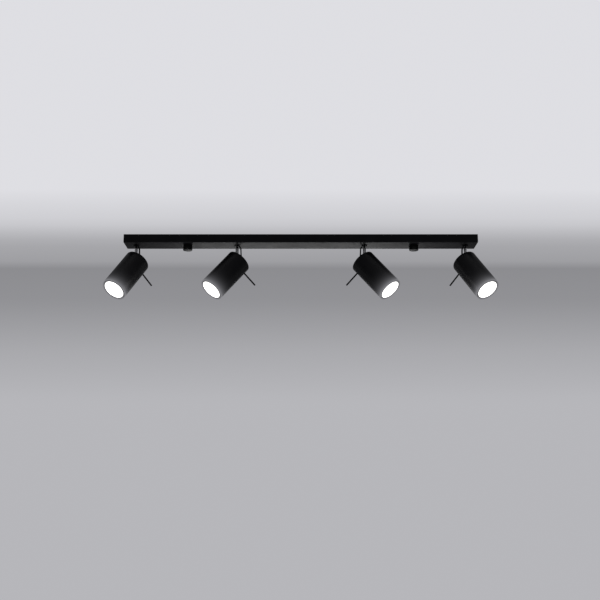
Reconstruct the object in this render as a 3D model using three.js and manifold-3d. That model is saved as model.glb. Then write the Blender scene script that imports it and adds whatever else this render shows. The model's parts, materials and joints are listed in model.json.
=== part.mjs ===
import * as THREE from 'three';
import { mergeVertices } from 'three/addons/utils/BufferGeometryUtils.js';
import Module from 'manifold-3d';

// Four-spot ceiling bar. Millimetres, +Z up, +X along the bar, the room's front side is -Y.
// z = 0 is the ceiling. Every head is drawn panned and tilted as it is normally set.

// ---- driving dimensions ----
const BAR_LENGTH = 800, BAR_WIDTH = 56, BAR_HEIGHT = 19, SHEET = 1.2;
const GAP = 0.3;
const STRAP_LENGTH = 560, STRAP_WIDTH = 22, STRAP_THICK = 1.5;
const STRAP_SLOT_LENGTH = 24, STRAP_SLOT_WIDTH = 5.2, STRAP_SLOTS_X = [-200, -80, 80, 200];
const STUD_X = 257.5, STUD_RADIUS = 2, STUD_TIP_Z = -28.5;
const FINGER_NUT_RADIUS = 10.5, FINGER_NUT_HEIGHT = 11;
const BLOCK = { length: 34, width: 18, height: 10, wires: 5.6, screws: 2.6 };
const EARTH_SCREW_X = 48;
const LOOM = { radius: 1.3, startY: 5.3, high: -8.2, low: -12.7, nearLane: 6, farLane: 13 };
const SHANK_RADIUS = 5, SHANK_BORE = 4, SHANK_TOP_Z = -11.5;
const FLANGE_RADIUS = 6.4, FLANGE_THICK = 1.6;
const STEM_RADIUS = 2.2, STEM_END_Z = -25.5, LINK_RADIUS = 3.5, LINK_FLAT = 3.4, EYE_RADIUS = 4.6;
const PIVOT_DROP = 41.5, PIVOT_TO_CAP = 8, PIN_RADIUS = 2;
const BARREL_RADIUS = 28.5, BARREL_LENGTH = 101, BARREL_WALL = 1.5, CAP_CORNER = 2;
const SLOT_HALF_WIDTH = 3.9, SLOT_FRONT = 21.2;
const GROMMET_X = 9.8, GROMMET_HOLE = 3.2, GROMMET_FLANGE = 4;
const CORE_RADIUS = 1.05;  // the lead is two cores side by side, this far from its middle line
const HANDLE_RADIUS = 1.75, HANDLE_OUT = 37, HANDLE_BELOW_CAP = 11.4;
const LAMP_RADIUS = 25, LENS_RADIUS = 23, LAMP_RECESS = 0.5, LAMP_BODY = 46.5, PIN_SPACING = 10;
const HOLDER_RADIUS = 14.5, HOLDER_HEIGHT = 16, PIN_SLOT_HALF = 3.1, LAMP_TWIST = 25;
// each head: stem position along the bar, pan of its back side from +X, tilt from straight down
const SPOTS = [
  { name: 'spot1', x: -375, pan: 48.5, tilt: 39 },
  { name: 'spot2', x: -145, pan: 28.5, tilt: 42 },
  { name: 'spot3', x: 145, pan: 151.5, tilt: 42 },
  { name: 'spot4', x: 375, pan: 131.5, tilt: 39 },
];

const wasm = await Module();
wasm.setup();
const RAD = Math.PI / 180;
const PIVOT_Z = -BAR_HEIGHT - PIVOT_DROP;

// ---- shared helpers ----
function toSolid(geometry) {
  const g = geometry.clone();
  for (const name of ['normal', 'uv']) g.deleteAttribute(name);
  const m = mergeVertices(g, 1e-4);
  const p = m.attributes.position.array, idx = [];
  const src = m.index.array;
  let volume = 0;
  for (let i = 0; i < src.length; i += 3) {
    const [a, b, c] = [src[i], src[i + 1], src[i + 2]];
    if (a === b || b === c || a === c) continue;
    idx.push(a, b, c);
    const [x, y, z] = [a, b, c].map((k) => new THREE.Vector3(p[3 * k], p[3 * k + 1], p[3 * k + 2]));
    volume += x.dot(y.clone().cross(z));
  }
  if (volume < 0) for (let i = 0; i < idx.length; i += 3) [idx[i], idx[i + 1]] = [idx[i + 1], idx[i]];
  return new wasm.Manifold(new wasm.Mesh({
    numProp: 3, vertProperties: new Float32Array(p), triVerts: new Uint32Array(idx),
  }));
}

function toGeometry(solid) {
  const mesh = solid.getMesh();
  const g = new THREE.BufferGeometry();
  g.setAttribute('position', new THREE.BufferAttribute(new Float32Array(mesh.vertProperties), 3));
  g.setIndex(new THREE.BufferAttribute(new Uint32Array(mesh.triVerts), 1));
  return g;
}

// a turned piece: [radius, z] pairs revolved about Z
function turned(points, segments = 32) {
  const g = new THREE.LatheGeometry(points.map(([r, z]) => new THREE.Vector2(r, z)), segments);
  return toSolid(g.rotateX(Math.PI / 2));
}

function rod(radius, z0, z1, segments = 24) {
  return turned([[0, z0], [radius, z0], [radius, z1], [0, z1]], segments);
}

function box(x0, x1, y0, y1, z0, z1) {
  const g = new THREE.BoxGeometry(x1 - x0, y1 - y0, z1 - z0);
  return toSolid(g.translate((x0 + x1) / 2, (y0 + y1) / 2, (z0 + z1) / 2));
}

// a flat outline in XY pushed up from z0 to z1
function plate(shape, z0, z1, curveSegments = 10) {
  const options = { depth: z1 - z0, bevelEnabled: false, curveSegments };
  return toSolid(new THREE.ExtrudeGeometry(shape, options).translate(0, 0, z0));
}

// a straight slot with round ends, from xa to xb
function stadium(xa, xb, y, radius) {
  const s = new THREE.Shape();
  s.absarc(xb - radius, y, radius, -Math.PI / 2, Math.PI / 2);
  s.absarc(xa + radius, y, radius, Math.PI / 2, 1.5 * Math.PI);
  return s;
}

function hexagon(acrossFlats, turn = 0) {
  const s = new THREE.Shape(), r = acrossFlats / Math.sqrt(3);
  for (let i = 0; i < 6; i++) {
    const a = (i * 60 + turn) * RAD;
    s[i ? 'lineTo' : 'moveTo'](r * Math.cos(a), r * Math.sin(a));
  }
  return s;
}

// a wire swept along a smooth path: round, or flat with two cores spread to both sides
function wire(points, radius, steps, sides = 10, spread = 0) {
  const path = new THREE.CatmullRomCurve3(points.map((p) => new THREE.Vector3(...p)));
  const s = new THREE.Shape();
  for (let i = 0; i < sides; i++) {
    const a = (2 * Math.PI * i) / sides, aside = spread * Math.sign(Math.cos(a));
    s[i ? 'lineTo' : 'moveTo'](radius * Math.cos(a) + aside, radius * Math.sin(a));
  }
  return toSolid(new THREE.ExtrudeGeometry(s, { steps, extrudePath: path, bevelEnabled: false }));
}

function turnSolid(solid, x, y, z) {
  return solid.rotate([x, y, z]);
}

// ---- pieces of the bar ----
function housing() {
  const l = BAR_LENGTH / 2, w = BAR_WIDTH / 2;
  let s = box(-l, l, -w, w, -BAR_HEIGHT, 0)
    .subtract(box(-l + SHEET, l - SHEET, -w + SHEET, w - SHEET, -BAR_HEIGHT + SHEET, 5));
  for (const spot of SPOTS) {
    s = s.subtract(rod(SHANK_RADIUS + GAP, -BAR_HEIGHT - 1, -BAR_HEIGHT + 3, 18).translate([spot.x, 0, 0]));
  }
  for (const x of [-STUD_X, STUD_X]) {
    s = s.subtract(rod(STUD_RADIUS + 0.6, -BAR_HEIGHT - 1, -BAR_HEIGHT + 3, 12).translate([x, 0, 0]));
  }
  return s;
}

function strap() {
  const l = STRAP_LENGTH / 2, w = STRAP_WIDTH / 2;
  let s = plate(stadium(-l, l, 0, w), -STRAP_THICK, 0, 6);
  for (const x of STRAP_SLOTS_X) {
    const half = STRAP_SLOT_LENGTH / 2;
    const slot = stadium(x - half, x + half, 0, STRAP_SLOT_WIDTH / 2);
    s = s.subtract(plate(slot, -5, 5, 5));
  }
  return s;
}

// threaded stud: a collar riveted under the strap and the shank that passes the bar
function stud(x) {
  const top = -STRAP_THICK - GAP, r = STUD_RADIUS;
  const points = [[0, top], [4.2, top], [4.2, top - 2], [r, top - 2], [r, STUD_TIP_Z + 0.6],
    [r - 0.6, STUD_TIP_Z], [0, STUD_TIP_Z]];
  return turned(points, 12).translate([x, 0, 0]);
}

function fingerNut(x) {
  const r = FINGER_NUT_RADIUS, top = -BAR_HEIGHT - GAP, end = top - FINGER_NUT_HEIGHT;
  const bore = STUD_RADIUS + GAP, depth = STUD_TIP_Z - 0.6;
  const points = [[0, depth], [bore, depth], [bore, top], [r - 0.6, top], [r, top - 0.6],
    [r, end + 1], [r - 0.3, end + 0.3], [r - 1, end], [0, end]];
  return turned(points, 24).translate([x, 0, 0]);
}

function terminalBlock() {
  const { length: l, width: w, height: h } = BLOCK;
  const top = -STRAP_THICK - GAP;
  let s = box(-l / 2, l / 2, -w / 2, w / 2, top - h, top);
  for (const y of [-BLOCK.wires, 0, BLOCK.wires]) {
    const hole = rod(1.6, -30, 30, 10);
    s = s.subtract(turnSolid(hole, 0, 90, 0).translate([0, y, top - 6]));
  }
  for (const x of [-BLOCK.screws, BLOCK.screws]) {
    s = s.subtract(box(x - 0.5, x + 0.5, -20, 20, top - h - 1, top - h + 1.5));
  }
  return s;
}

function earthScrew() {
  const top = -STRAP_THICK - GAP;
  const s = turned([[0, top], [2, top], [2, top - 2.4], [4, top - 2.4], [4, top - 4], [3.2, top - 5],
    [0, top - 5]], 20);
  return s.subtract(box(-5, 5, -0.5, 0.5, top - 6, top - 4)).translate([EARTH_SCREW_X, 0, 0]);
}

// insulated feed wires of one half of the bar, from the terminal block to its two swivels
function loom(side) {
  const start = BLOCK.length / 2 + 2, end = SHANK_TOP_Z + 3;
  const { radius, startY, high, low, nearLane, farLane } = LOOM;
  const run = (x, lane) => wire([[side * start, startY, high], [side * (start + 11), startY, high - 1],
    [side * (start + 45), lane, low], [side * (x - 45), lane, low], [side * (x - 10), 2.5, end - 0.5],
    [side * x, 0, end]], radius, 18, 6);
  return run(SPOTS[2].x, nearLane).add(run(SPOTS[3].x, farLane));
}

// ---- pieces that pan with a head (drawn about the stem axis, back side towards +X) ----
const LEAD_TOP = [[1.9, 0, -13], [2.1, 0, -16], [3.5, 0, -19.2], [6.2, 0, -21.3], [8.4, 0, -23.4],
  [9.5, 0, -27], [9.8, 0, -32], [10.6, 0, -42], [13.2, 0, -52.5]];

function leadPoints(tilt) {
  // the lead's lower end, given in the tilted barrel and brought back to the stem's frame
  const c = Math.cos(tilt * RAD), s = Math.sin(tilt * RAD);
  const fromHead = ([x, z]) => [x * c + z * s, 0, PIVOT_Z - x * s + z * c];
  const tail = [[GROMMET_X - 0.3, 10.6], [GROMMET_X, 7.4], [GROMMET_X, 3], [GROMMET_X, -8],
    [GROMMET_X + 0.8, -24]];
  return [...LEAD_TOP, ...tail.map(fromHead)];
}

function swivelStem(tilt) {
  const floor = -BAR_HEIGHT - GAP - FLANGE_THICK, under = -BAR_HEIGHT - GAP;
  const points = [[0, STEM_END_Z + GAP], [STEM_RADIUS, STEM_END_Z + GAP], [STEM_RADIUS, floor],
    [FLANGE_RADIUS - 0.3, floor], [FLANGE_RADIUS, floor + 0.3], [FLANGE_RADIUS, under],
    [SHANK_RADIUS, under], [SHANK_RADIUS, SHANK_TOP_Z], [SHANK_BORE, SHANK_TOP_Z],
    [SHANK_BORE, floor + 1.4], [0, floor + 1.4]];
  const channel = wire(leadPoints(tilt).slice(0, 6), CORE_RADIUS + GAP, 12, 10, CORE_RADIUS);
  return turned(points, 18).subtract(channel);
}

function swivelNut() {
  const z0 = -BAR_HEIGHT + SHEET + GAP;
  return plate(hexagon(14), z0, z0 + 3.2).subtract(rod(SHANK_RADIUS + GAP, -40, 20, 18));
}

function tiltLink() {
  const flatTop = PIVOT_Z + 13, f = LINK_FLAT / 2;
  const round = turned([[0, flatTop - 1], [LINK_RADIUS, flatTop - 1], [LINK_RADIUS, STEM_END_Z - 0.5],
    [LINK_RADIUS - 0.5, STEM_END_Z], [0, STEM_END_Z]], 16);
  const blade = new THREE.Shape();
  blade.absarc(0, 0, EYE_RADIUS, Math.PI, 2 * Math.PI);
  blade.lineTo(LINK_RADIUS, 6);
  blade.lineTo(LINK_RADIUS, 14);
  blade.lineTo(-LINK_RADIUS, 14);
  blade.lineTo(-LINK_RADIUS, 6);
  blade.closePath();
  const flat = turnSolid(plate(blade, -f, f), 90, 0, 0).translate([0, 0, PIVOT_Z]);
  const eye = turnSolid(rod(PIN_RADIUS + 0.1, -9, 9, 16), 90, 0, 0).translate([0, 0, PIVOT_Z]);
  return round.add(flat).subtract(eye);
}

function lead(tilt) {
  return wire(leadPoints(tilt), CORE_RADIUS, 30, 10, CORE_RADIUS);
}

// ---- pieces that tilt (drawn about the pivot, mouth towards -Z, back side towards +X) ----
function barrel() {
  const R = BARREL_RADIUS, t = BARREL_WALL, top = PIVOT_TO_CAP, end = top - BARREL_LENGTH;
  const arc = (cx, cz, r, a0, a1, n) => Array.from({ length: n + 1 }, (_, i) => {
    const a = (a0 + ((a1 - a0) * i) / n) * RAD;
    return [cx + r * Math.cos(a), cz + r * Math.sin(a)];
  });
  const points = [[0, top - t], ...arc(R - CAP_CORNER, top - CAP_CORNER, CAP_CORNER - t, 90, 0, 1),
    ...arc(R - t / 2, end + t / 2, t / 2, 180, 360, 2),
    ...arc(R - CAP_CORNER, top - CAP_CORNER, CAP_CORNER, 0, 90, 3), [0, top]];
  const slot = plate(stadium(-SLOT_FRONT, SLOT_HALF_WIDTH, 0, SLOT_HALF_WIDTH), top - 4, top + 2, 6);
  const inlet = rod(GROMMET_HOLE, top - 4, top + 2, 16).translate([GROMMET_X, 0, 0]);
  const hole = turnSolid(rod(HANDLE_RADIUS + GAP, 20, 40, 12), 0, 90, 0)
    .translate([0, 0, top - HANDLE_BELOW_CAP]);
  return turned(points, 32).subtract(slot).subtract(inlet).subtract(hole);
}

// U-shaped carrier hung from the cap: it holds the pivot above and the lamp holder below
function carrier() {
  const top = PIVOT_TO_CAP - BARREL_WALL - GAP, base = lampBase() + HOLDER_HEIGHT + GAP;
  const inner = LINK_FLAT / 2 + GAP, t = 1.4, half = 6;
  let s = box(-half, half, -9.5, 9.5, base, base + t);
  for (const side of [-1, 1]) {
    const ear = box(-half, half, inner, inner + t, -9, top);
    const tab = box(-half, half, inner, 10.5, top - t, top);
    const foot = box(-half, half, 8.1, 9.5, base, -7.6);
    const step = box(-half, half, inner, 9.5, -9, -7.6);
    for (const piece of [ear, tab, foot, step]) {
      s = s.add(side > 0 ? piece : turnSolid(piece, 0, 0, 180));
    }
  }
  const bore = turnSolid(rod(PIN_RADIUS + GAP, -12, 12, 14), 90, 0, 0);
  return s.subtract(box(-20, 20, -SLOT_HALF_WIDTH, SLOT_HALF_WIDTH, top - t - 0.01, top + 1)
    .intersect(box(-20, 20, -inner, inner, -50, 50))).subtract(bore);
}

function pivotPin() {
  const y = LINK_FLAT / 2 + GAP + 1.4 + GAP, r = PIN_RADIUS;
  const half = [[3.4, y], [3.4, y + 0.6], [2.4, y + 1.2]];
  const mirror = half.map(([a, b]) => [a, -b]).reverse();
  return turnSolid(turned([[0, -y - 1.2], ...mirror, [r, -y], [r, y], ...half, [0, y + 1.2]], 14), 90, 0, 0);
}

function leadGrommet() {
  const top = PIVOT_TO_CAP, low = top - BARREL_WALL - GAP, flange = GROMMET_FLANGE;
  const hole = GROMMET_HOLE - 0.2, bore = 2 * CORE_RADIUS + 0.25;
  const points = [[bore, low - 1], [flange, low - 1], [flange, low], [hole, low], [hole, top + 0.2],
    [flange, top + 0.2], [flange - 0.4, top + 1.1], [bore, top + 1.3], [bore, low - 1]];
  return turned(points, 16).translate([GROMMET_X, 0, 0]);
}

function handle() {
  const out = BARREL_RADIUS + HANDLE_OUT, r = HANDLE_RADIUS;
  const points = [[0, BARREL_RADIUS - BARREL_WALL - 3], [r, BARREL_RADIUS - BARREL_WALL - 3],
    [r, out - 0.8], [r - 0.8, out], [0, out]];
  return turnSolid(turned(points, 12), 0, 90, 0).translate([0, 0, PIVOT_TO_CAP - HANDLE_BELOW_CAP]);
}

function lampBase() {
  return PIVOT_TO_CAP - BARREL_LENGTH + LAMP_RECESS + LAMP_BODY;
}

// the curved slot that a lamp's pin follows as the lamp is twisted free
function twistSlot() {
  const s = new THREE.Shape(), mid = PIN_SPACING / 2, r = PIN_SLOT_HALF, a = LAMP_TWIST * RAD;
  s.absarc(0, 0, mid + r, 0, a);
  s.absarc(mid * Math.cos(a), mid * Math.sin(a), r, a, a + Math.PI);
  s.absarc(0, 0, mid - r, a, 0, true);
  s.absarc(mid, 0, r, Math.PI, 2 * Math.PI);
  return s;
}

function lampHolder() {
  const z = lampBase() + 0.2;
  const points = [[0, z + 1], [HOLDER_RADIUS - 1, z + 1], [HOLDER_RADIUS, z + 2],
    [HOLDER_RADIUS, z + 11], [HOLDER_RADIUS - 2.5, z + HOLDER_HEIGHT - 0.2], [0, z + HOLDER_HEIGHT - 0.2]];
  let s = turned(points, 20);
  for (const turn of [0, 180]) {
    s = s.subtract(turnSolid(plate(twistSlot(), z - 1, z + 9.5, 4), 0, 0, turn));
  }
  return s;
}

function lampBody() {
  const face = PIVOT_TO_CAP - BARREL_LENGTH + LAMP_RECESS, base = lampBase(), R = LAMP_RADIUS;
  const points = [[0, face + 2.4], [LENS_RADIUS + GAP, face + 2.4], [LENS_RADIUS + GAP, face],
    [R - 0.6, face], [R, face + 0.6], [R, face + 3.5], [R - 1, face + 4.5], [22.5, face + 15],
    [17.6, face + 30], [14.6, face + 36], [14.2, base], [0, base]];
  let s = turned(points, 24);
  for (const x of [-PIN_SPACING / 2, PIN_SPACING / 2]) {
    const pin = turned([[0, base - 1], [1.2, base - 1], [1.2, base + 5], [2.4, base + 5],
      [2.4, base + 7], [0, base + 7]], 10);
    s = s.add(pin.translate([x, 0, 0]));
  }
  return s;
}

function lampLens() {
  const face = PIVOT_TO_CAP - BARREL_LENGTH + LAMP_RECESS, r = LENS_RADIUS;
  return turned([[0, face + 2.1], [r, face + 2.1], [r, face + 0.1], [r - 1.5, face - 0.1],
    [r * 0.5, face - 0.35], [0, face - 0.45]], 24);
}

// ---- assembly ----
const group = new THREE.Group();
group.name = 'four_spot_ceiling_bar';
const LOOK = {
  black: { color: 0x141416, roughness: 0.55, metalness: 0.2 },
  chrome: { color: 0xb9bbbd, roughness: 0.2, metalness: 1 },
  zinc: { color: 0xa8a9a6, roughness: 0.45, metalness: 0.9 },
  steel: { color: 0x8d9092, roughness: 0.4, metalness: 0.9 },
  rubber: { color: 0x18181a, roughness: 0.8, metalness: 0 },
  white: { color: 0xe8e6df, roughness: 0.5, metalness: 0 },
  lampShell: { color: 0xc9c9c6, roughness: 0.35, metalness: 0.1 },
  light: { color: 0xffffff, roughness: 0.3, metalness: 0, emissive: 0xfff4e2 },
};

function put(name, solid, look, matrix) {
  const geometry = toGeometry(solid);
  if (matrix) geometry.applyMatrix4(matrix);
  const flat = geometry.toNonIndexed();
  flat.computeVertexNormals();
  const mesh = new THREE.Mesh(mergeVertices(flat), new THREE.MeshStandardMaterial(LOOK[look]));
  mesh.name = name;
  group.add(mesh);
}

put('bar_housing', housing(), 'black');
put('mounting_strap', strap(), 'zinc');
for (const [side, x] of [['left', -STUD_X], ['right', STUD_X]]) {
  put(`${side}_stud`, stud(x), 'zinc');
  put(`${side}_finger_nut`, fingerNut(x), 'black');
  put(`${side}_wiring_loom`, loom(Math.sign(x)), 'white');
}
put('terminal_block', terminalBlock(), 'white');
put('earth_screw', earthScrew(), 'steel');

for (const spot of SPOTS) {
  const pan = new THREE.Matrix4().makeRotationZ(spot.pan * RAD).setPosition(spot.x, 0, 0);
  const tilt = new THREE.Matrix4().makeRotationY(spot.tilt * RAD).setPosition(0, 0, PIVOT_Z);
  const head = pan.clone().multiply(tilt);
  const name = (piece) => `${spot.name}_${piece}`;
  put(name('swivel_stem'), swivelStem(spot.tilt), 'black', pan);
  put(name('swivel_nut'), swivelNut(), 'steel', pan);
  put(name('tilt_link'), tiltLink(), 'chrome', pan);
  put(name('lead'), lead(spot.tilt), 'rubber', pan);
  put(name('barrel'), barrel(), 'black', head);
  put(name('carrier'), carrier(), 'zinc', head);
  put(name('pivot_pin'), pivotPin(), 'steel', head);
  put(name('lead_grommet'), leadGrommet(), 'rubber', head);
  put(name('handle'), handle(), 'black', head);
  put(name('lamp_holder'), lampHolder(), 'white', head);
  put(name('lamp_body'), lampBody(), 'lampShell', head);
  put(name('lamp_lens'), lampLens(), 'light', head);
}

export default group;
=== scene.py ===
"""Looks of a black ceiling bar with four cylindrical spots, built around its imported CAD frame."""
import json
import math

import bmesh
import bpy
import numpy as np
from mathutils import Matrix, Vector


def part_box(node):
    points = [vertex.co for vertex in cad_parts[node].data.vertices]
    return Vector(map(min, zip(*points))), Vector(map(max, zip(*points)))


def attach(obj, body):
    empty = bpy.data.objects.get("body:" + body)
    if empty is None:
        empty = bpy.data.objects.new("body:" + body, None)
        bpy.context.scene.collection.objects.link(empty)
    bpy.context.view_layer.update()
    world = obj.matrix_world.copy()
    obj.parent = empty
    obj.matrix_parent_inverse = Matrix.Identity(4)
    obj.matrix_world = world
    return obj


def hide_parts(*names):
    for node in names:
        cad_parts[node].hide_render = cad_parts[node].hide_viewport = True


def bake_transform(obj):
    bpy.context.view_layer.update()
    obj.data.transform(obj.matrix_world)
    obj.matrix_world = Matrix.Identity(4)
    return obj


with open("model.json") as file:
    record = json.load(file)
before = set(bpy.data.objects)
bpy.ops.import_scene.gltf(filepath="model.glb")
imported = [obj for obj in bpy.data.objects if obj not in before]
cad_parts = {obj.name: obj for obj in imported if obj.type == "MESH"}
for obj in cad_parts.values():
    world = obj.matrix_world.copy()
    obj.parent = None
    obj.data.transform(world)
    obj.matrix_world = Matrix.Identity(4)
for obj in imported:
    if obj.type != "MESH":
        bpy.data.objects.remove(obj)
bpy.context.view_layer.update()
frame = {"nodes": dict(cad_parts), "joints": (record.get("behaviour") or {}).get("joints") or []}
scene = bpy.context.scene
scene.view_settings.view_transform = "Standard"

# ---------------------------------------------------------------------------
# Camera and room. The bar is looked at from the middle of a room, from below and in front,
# through a slightly long lens. The room is a pale backdrop, a pale floor and soft lamps.
FOCAL_IN_WIDTHS = 1.6685
CAMERA_PLACE = Vector((-0.0017, -2.2005, -0.6403))
CAMERA_PITCH = math.radians(12.66)
FLOOR_DEPTH = 2.4

camera_data = bpy.data.cameras.new("room_camera")
camera_data.sensor_width = 36.0
camera_data.lens = 36.0 * FOCAL_IN_WIDTHS
camera_data.clip_end = 50.0
camera = bpy.data.objects.new("room_camera", camera_data)
camera.location = CAMERA_PLACE
camera.rotation_euler = (math.pi / 2 + CAMERA_PITCH, 0.0, 0.0)
scene.collection.objects.link(camera)
scene.camera = camera


class Value:
    """A number or colour socket of a node tree; + - * and ** add Math nodes."""

    def __init__(self, finish, socket):
        self.finish, self.socket = finish, socket

    def _maths(self, operation, first, second):
        return self.finish.node("ShaderNodeMath", {"operation": operation}, {0: first, 1: second})

    def __add__(self, other):
        return self._maths("ADD", self, other)

    def __radd__(self, other):
        return self._maths("ADD", other, self)

    def __sub__(self, other):
        return self._maths("SUBTRACT", self, other)

    def __mul__(self, other):
        return self._maths("MULTIPLY", self, other)

    def __rmul__(self, other):
        return self._maths("MULTIPLY", other, self)

    def __pow__(self, other):
        return self._maths("POWER", self, other)


class Tree:
    """A node tree that is filled by calls: node() adds one node and gives back one of its outputs."""

    def __init__(self, tree):
        self.tree = tree

    def node(self, kind, settings=None, sockets=None, out=0):
        made = self.tree.nodes.new(kind)
        for key, setting in (settings or {}).items():
            if key == "stops":
                ramp = made.color_ramp.elements
                while len(ramp) < len(setting):
                    ramp.new(0.5)
                for element, (place, colour) in zip(ramp, setting):
                    element.position, element.color = place, colour
            else:
                setattr(made, key, setting)
        for key, value in (sockets or {}).items():
            self.feed(made.inputs[key], value)
        return Value(self, made.outputs[out])

    def feed(self, socket, value):
        if isinstance(value, Value):
            self.tree.links.new(value.socket, socket)
        else:
            socket.default_value = value


def grey(level, blue=0.0):
    """A neutral colour of that linear level, with a little more blue if asked."""
    return (level, level, level + blue, 1.0)


# Where on the backdrop (0.5 is level with the camera, more is higher) and the shade there
# The dark stops from 0.612 to 0.647 are painted shade where the wall meets the ceiling
BACKDROP = (
    (0.561, grey(0.47, 0.024)),
    (0.586, grey(0.395, 0.02)),
    (0.612, grey(0.285, 0.016)),
    (0.631, grey(0.262, 0.015)),
    (0.633, grey(0.352, 0.018)),
    (0.64, grey(0.375, 0.019)),
    (0.647, grey(0.45, 0.022)),
    (0.65, grey(0.545, 0.026)),
    (0.656, grey(0.62, 0.03)),
    (0.665, grey(0.68, 0.032)),
    (0.672, grey(0.735, 0.034)),
)
ROOM_GLOW = 0.22


def room_light():
    """The backdrop of a square room: on each wall the shade goes by height over distance, z divided
    by the larger of |x| and |y|, so that lines stay straight. The wall is grey and the ceiling white,
    with painted shade on both sides of a faint line where they meet, darkest just under it. As a
    light source the room is even and dim."""
    world = bpy.data.worlds.new("pale_room")
    world.use_nodes = True
    scene.world = world
    tree = Tree(world.node_tree)
    tree.tree.nodes.clear()
    way = tree.node("ShaderNodeTexCoord", out="Generated")
    x, y, z = (tree.node("ShaderNodeSeparateXYZ", sockets={0: way}, out=axis) for axis in "XYZ")
    x, y = (tree.node("ShaderNodeMath", {"operation": "ABSOLUTE"}, {0: side}) for side in (x, y))
    distance = tree.node("ShaderNodeMath", {"operation": "MAXIMUM"}, {0: x, 1: y})
    height = z * distance ** -1.0 * 0.5 + 0.5
    backdrop = tree.node("ShaderNodeValToRGB", {"stops": BACKDROP}, {0: height})
    seen = tree.node("ShaderNodeLightPath", out="Is Camera Ray")
    strength = ROOM_GLOW + (1.0 - ROOM_GLOW) * seen
    surface = tree.node("ShaderNodeBackground", sockets={"Color": backdrop, "Strength": strength})
    output = tree.tree.nodes.new("ShaderNodeOutputWorld")
    tree.tree.links.new(surface.socket, output.inputs["Surface"])


def soft_lamp(name, place, aim, width, height, radiance):
    """A rectangular area lamp at place that faces aim; its power is radiance times pi times area."""
    data = bpy.data.lights.new(name, "AREA")
    data.shape, data.size, data.size_y = "RECTANGLE", width, height
    data.energy = radiance * math.pi * width * height
    lamp = bpy.data.objects.new(name, data)
    lamp.location = place
    lamp.rotation_euler = (Vector(aim) - Vector(place)).to_track_quat("-Z", "Y").to_euler()
    lamp.visible_camera = False
    scene.collection.objects.link(lamp)


room_light()
# Each lamp: its name, its place, what it faces, width, height and radiance
soft_lamp("wall_pool", (0.0, 1.2, -0.36), (0.0, -0.4, -0.36), 0.8, 0.2, 1.3)
soft_lamp("floor_bounce", (0.0, -0.2, -2.2), (0.0, 0.0, 0.0), 2.4, 2.0, 0.9)
soft_lamp("left_window", (-2.4, 0.5, 0.2), (0.0, 0.0, -0.06), 1.4, 1.4, 0.4)
soft_lamp("right_window", (2.4, 0.5, 0.2), (0.0, 0.0, -0.06), 1.4, 1.4, 0.4)
soft_lamp("overhead", (0.0, 0.2, 2.2), (0.0, 0.0, 0.0), 1.4, 1.4, 0.7)
soft_lamp("behind", (0.0, 2.6, 0.9), (0.0, 0.0, -0.06), 2.4, 1.2, 0.3)
soft_lamp("floor_wash", (0.0, 0.0, -1.2), (0.0, 0.0, -2.0), 60.0, 60.0, 0.75)


# ---------------------------------------------------------------------------
# Bar housing. A tray folded from 1.2 mm sheet steel, open towards the ceiling, its four corners
# closed, with round holes for the swivels and the studs, sprayed with matte black powder coat.
SHEET = 0.0012
OUTER_FOLD, INNER_FOLD, CORNER, RIM = 0.0016, 0.0008, 0.0016, 0.0003
SHANK_HOLE, STUD_HOLE = 0.0053, 0.0026
SEAM = 0.00022
OVERSHOOT = 0.002  # how far a cutting tool reaches past the face it cuts


def rounded(points, radius, steps=4):
    """A broken line whose inner corners are replaced by curves that leave each corner at radius."""
    points = np.asarray(points, float)
    radius = np.broadcast_to(radius, len(points))
    t = np.linspace(0.0, 1.0, steps + 1)[:, None]
    parts = [points[:1]]
    for before, corner, after, r in zip(points[:-2], points[1:-1], points[2:], radius[1:-1]):
        back, on = before - corner, after - corner
        far, near = np.linalg.norm(back), np.linalg.norm(on)
        start = corner + back / far * min(r, 0.49 * far)
        end = corner + on / near * min(r, 0.49 * near)
        parts.append((1 - t) ** 2 * start + 2 * t * (1 - t) * corner + t * t * end)
    parts.append(points[-1:])
    return np.concatenate(parts)


def grid_faces(rows, columns, wrap_rows=False, wrap_columns=False):
    """The quads between neighbouring points of a rows x columns grid, numbered row by row."""
    i = np.arange(rows if wrap_rows else rows - 1)[:, None]
    j = np.arange(columns if wrap_columns else columns - 1)[None, :]
    below, beside = (i + 1) % rows, (j + 1) % columns
    quads = [i * columns + j, below * columns + j, below * columns + beside, i * columns + beside]
    return np.stack([np.broadcast_to(q, (i.size, j.size)) for q in quads], -1).reshape(-1, 4)


def around_rim(half_x, half_y, corner, profile, steps=6):
    """A profile of (inset, height) pairs carried round a rectangle with round corners: a corner's
    centre lies max(corner, inset) inside both sides and its arc has radius corner - inset."""
    inset, height = np.asarray(profile, float).T
    quarter = np.linspace(0.0, math.pi / 2, steps + 1)
    angle = np.concatenate([quarter + k * math.pi / 2 for k in range(4)])
    sign_x = np.repeat([1.0, -1.0, -1.0, 1.0], steps + 1)
    sign_y = np.repeat([1.0, 1.0, -1.0, -1.0], steps + 1)
    deep = np.maximum(corner, inset)[:, None]
    arc = np.maximum(corner - inset, 0.0)[:, None]
    x = sign_x * np.maximum(half_x - deep, 0.0) + arc * np.cos(angle)
    y = sign_y * np.maximum(half_y - deep, 0.0) + arc * np.sin(angle)
    z = np.broadcast_to(height[:, None], x.shape)
    return np.stack([x, y, z], -1).reshape(-1, 3), grid_faces(len(inset), len(angle), wrap_columns=True)


def turned(profile, around):
    """A profile of (radius, height) pairs carried round the Z axis: x = r cos a, y = r sin a."""
    r, z = np.asarray(profile, float).T
    a = np.linspace(0.0, 2 * math.pi, around, endpoint=False)
    points = np.stack(np.broadcast_arrays(r[:, None] * np.cos(a), r[:, None] * np.sin(a), z[:, None]), -1)
    return points.reshape(-1, 3), grid_faces(len(r), around, wrap_columns=True)


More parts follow.
